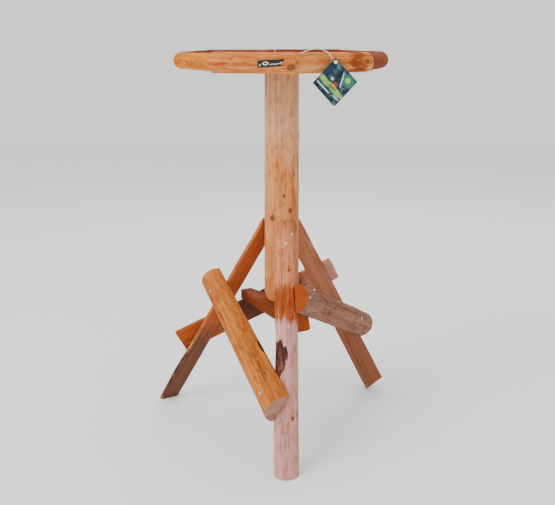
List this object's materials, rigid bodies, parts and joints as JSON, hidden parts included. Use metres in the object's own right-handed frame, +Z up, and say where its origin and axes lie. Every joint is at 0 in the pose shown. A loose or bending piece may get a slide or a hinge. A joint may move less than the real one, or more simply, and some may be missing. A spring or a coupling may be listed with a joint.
{
  "type": "log bird table",
  "caption": "Rustic bird feeding table: octagonal tray with a half-log rim on a round wooden pole, held up by splayed half-log legs with crossed half-log braces and a card tag on a cord loop.",
  "frame": {"origin": "on the ground, at the middle of the box round the legs and the tray", "axes": "+Z up along the pole, -Y towards the front leg, +X to the right seen from the front"},
  "size_m": [0.6595, 0.6499, 1.0075],
  "materials": {
    "pole_wood": "matt barked pine, tan with pale pink streaks and two knots",
    "front_leg_wood": "matt, weathered pinkish sapwood with a patch of bark",
    "left_leg_wood": "matt, dark stained saw cut and bark along the lower edge",
    "right_leg_wood": "matt, terracotta stained saw cut",
    "brace_golden_wood": "matt, golden peeled pine",
    "brace_grey_wood": "matt, mottled grey brown with a fresh orange end",
    "brace_rear_wood": "matt, grey brown saw cut",
    "tie_wood": "matt, red brown saw cut",
    "rim_wood": "matt, orange tan peeled pine",
    "plank_wood": "matt sawn board",
    "batten_wood": "matt sawn batten",
    "screw_steel": "zinc plated",
    "label_plastic": "black plate with a plain pale emblem",
    "tag_card": "printed card, dark blue green with lime stripes",
    "cord_plastic": "pale clear plastic"
  },
  "bodies": {
    "table": {"batten_left": "batten_wood", "batten_right": "batten_wood", "brace_front_left": "brace_golden_wood", "brace_front_right": "brace_grey_wood", "brace_rear": "brace_rear_wood", "brace_screws": "screw_steel", "label_plate": "label_plastic", "leg_front": "front_leg_wood", "leg_front_screws": "screw_steel", "leg_left": "left_leg_wood", "leg_left_screws": "screw_steel", "leg_right": "right_leg_wood", "leg_right_screws": "screw_steel", "plank_screws": "screw_steel", "pole": "pole_wood", "pole_head_screws": "screw_steel", "pole_tie": "tie_wood", "rim_front_left": "rim_wood", "rim_front_right": "rim_wood", "rim_left_front": "rim_wood", "rim_left_rear": "rim_wood", "rim_nail": "screw_steel", "rim_rear_left": "rim_wood", "rim_rear_right": "rim_wood", "rim_right_front": "rim_wood", "rim_right_rear": "rim_wood", "rim_screws": "screw_steel", "tag_cord": "cord_plastic", "tag_staple": "screw_steel", "tie_screws": "screw_steel", "tray_plank_1": "plank_wood", "tray_plank_2": "plank_wood", "tray_plank_3": "plank_wood", "tray_plank_4": "plank_wood", "tray_plank_5": "plank_wood"},
    "fastener": {"tag_fastener": "cord_plastic"},
    "tag": {"hang_tag": "tag_card"}
  },
  "joints": [
    {"name": "tag_flap", "type": "hinge", "parent": "table", "child": "fastener", "pos_m": [0.14544, -0.1884, 0.9769], "axis": [-0.9455, -0.3256, 0], "range_deg": [0, 22]},
    {"name": "tag_swing", "type": "hinge", "parent": "fastener", "child": "tag", "pos_m": [0.14677, -0.19228, 0.9769], "axis": [0.3256, -0.9455, 0], "range_deg": [-35, 35]}
  ]
}
